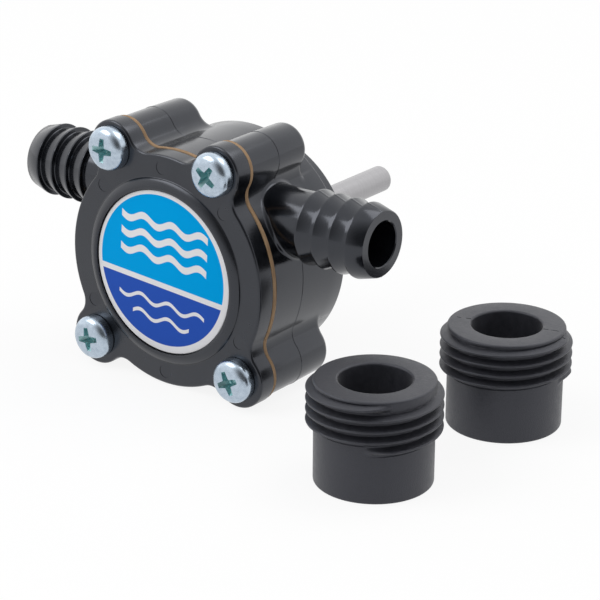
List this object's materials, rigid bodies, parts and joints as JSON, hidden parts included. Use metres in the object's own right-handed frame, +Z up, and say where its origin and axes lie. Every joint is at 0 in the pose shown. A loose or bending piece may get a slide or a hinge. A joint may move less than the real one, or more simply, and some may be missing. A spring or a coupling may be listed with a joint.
{
  "type": "drill powered pump",
  "caption": "Small round transfer pump with a lobed bolted cover, hose barbs on both sides and a plain shaft for a drill chuck, with threaded hose adapters standing beside it.",
  "frame": {"origin": "on the drive shaft's axis, in the plane of the housing's rear face, where the shaft comes out", "axes": "+Z up, +Y along the drive shaft away from the pump, +X along the hose barb on the right as seen from the cover"},
  "size_m": [0.1253, 0.1008, 0.056],
  "materials": {
    "housing_plastic": "satin moulded",
    "cover_plastic": "satin moulded",
    "label_print": "printed film, blue fields in a white ring",
    "gasket_fibre": "tan fibre sheet",
    "screw_zinc": "bright zinc",
    "bush_bronze": "sintered bronze",
    "seal_steel": "pressed steel",
    "seal_rubber": "moulded rubber",
    "shaft_steel": "ground and satin",
    "impeller_rubber": "moulded rubber",
    "insert_brass": "turned",
    "clip_steel": "spring steel",
    "adapter_rubber": "matt moulded"
  },
  "bodies": {
    "pump": {"pump_housing": "housing_plastic", "front_cover": "cover_plastic", "cover_label": "label_print", "cover_gasket": "gasket_fibre", "cover_screws": "screw_zinc", "front_bush": "bush_bronze", "rear_bush": "bush_bronze", "seal_case": "seal_steel", "seal_lip": "seal_rubber", "garter_spring": "seal_steel"},
    "rotor": {"drive_shaft": "shaft_steel", "impeller": "impeller_rubber", "impeller_insert": "insert_brass", "impeller_clip_front": "clip_steel", "impeller_clip_rear": "clip_steel", "slinger_ring": "seal_rubber", "thrust_washer": "clip_steel", "shaft_clip": "clip_steel"},
    "near_adapter": {"hose_adapter_near": "adapter_rubber"},
    "far_adapter": {"hose_adapter_far": "adapter_rubber"}
  },
  "joints": [
    {"name": "shaft_spin", "type": "hinge", "parent": "pump", "child": "rotor", "pos_m": [0, 0, 0], "axis": [0, 1, 0], "continuous": true, "deforming": ["impeller"]},
    {"name": "near_adapter_lift", "type": "slide", "parent": "pump", "child": "near_adapter", "axis": [0, 0, 1], "range_m": [0, 0.06]},
    {"name": "far_adapter_lift", "type": "slide", "parent": "pump", "child": "far_adapter", "axis": [0, 0, 1], "range_m": [0, 0.06]}
  ]
}
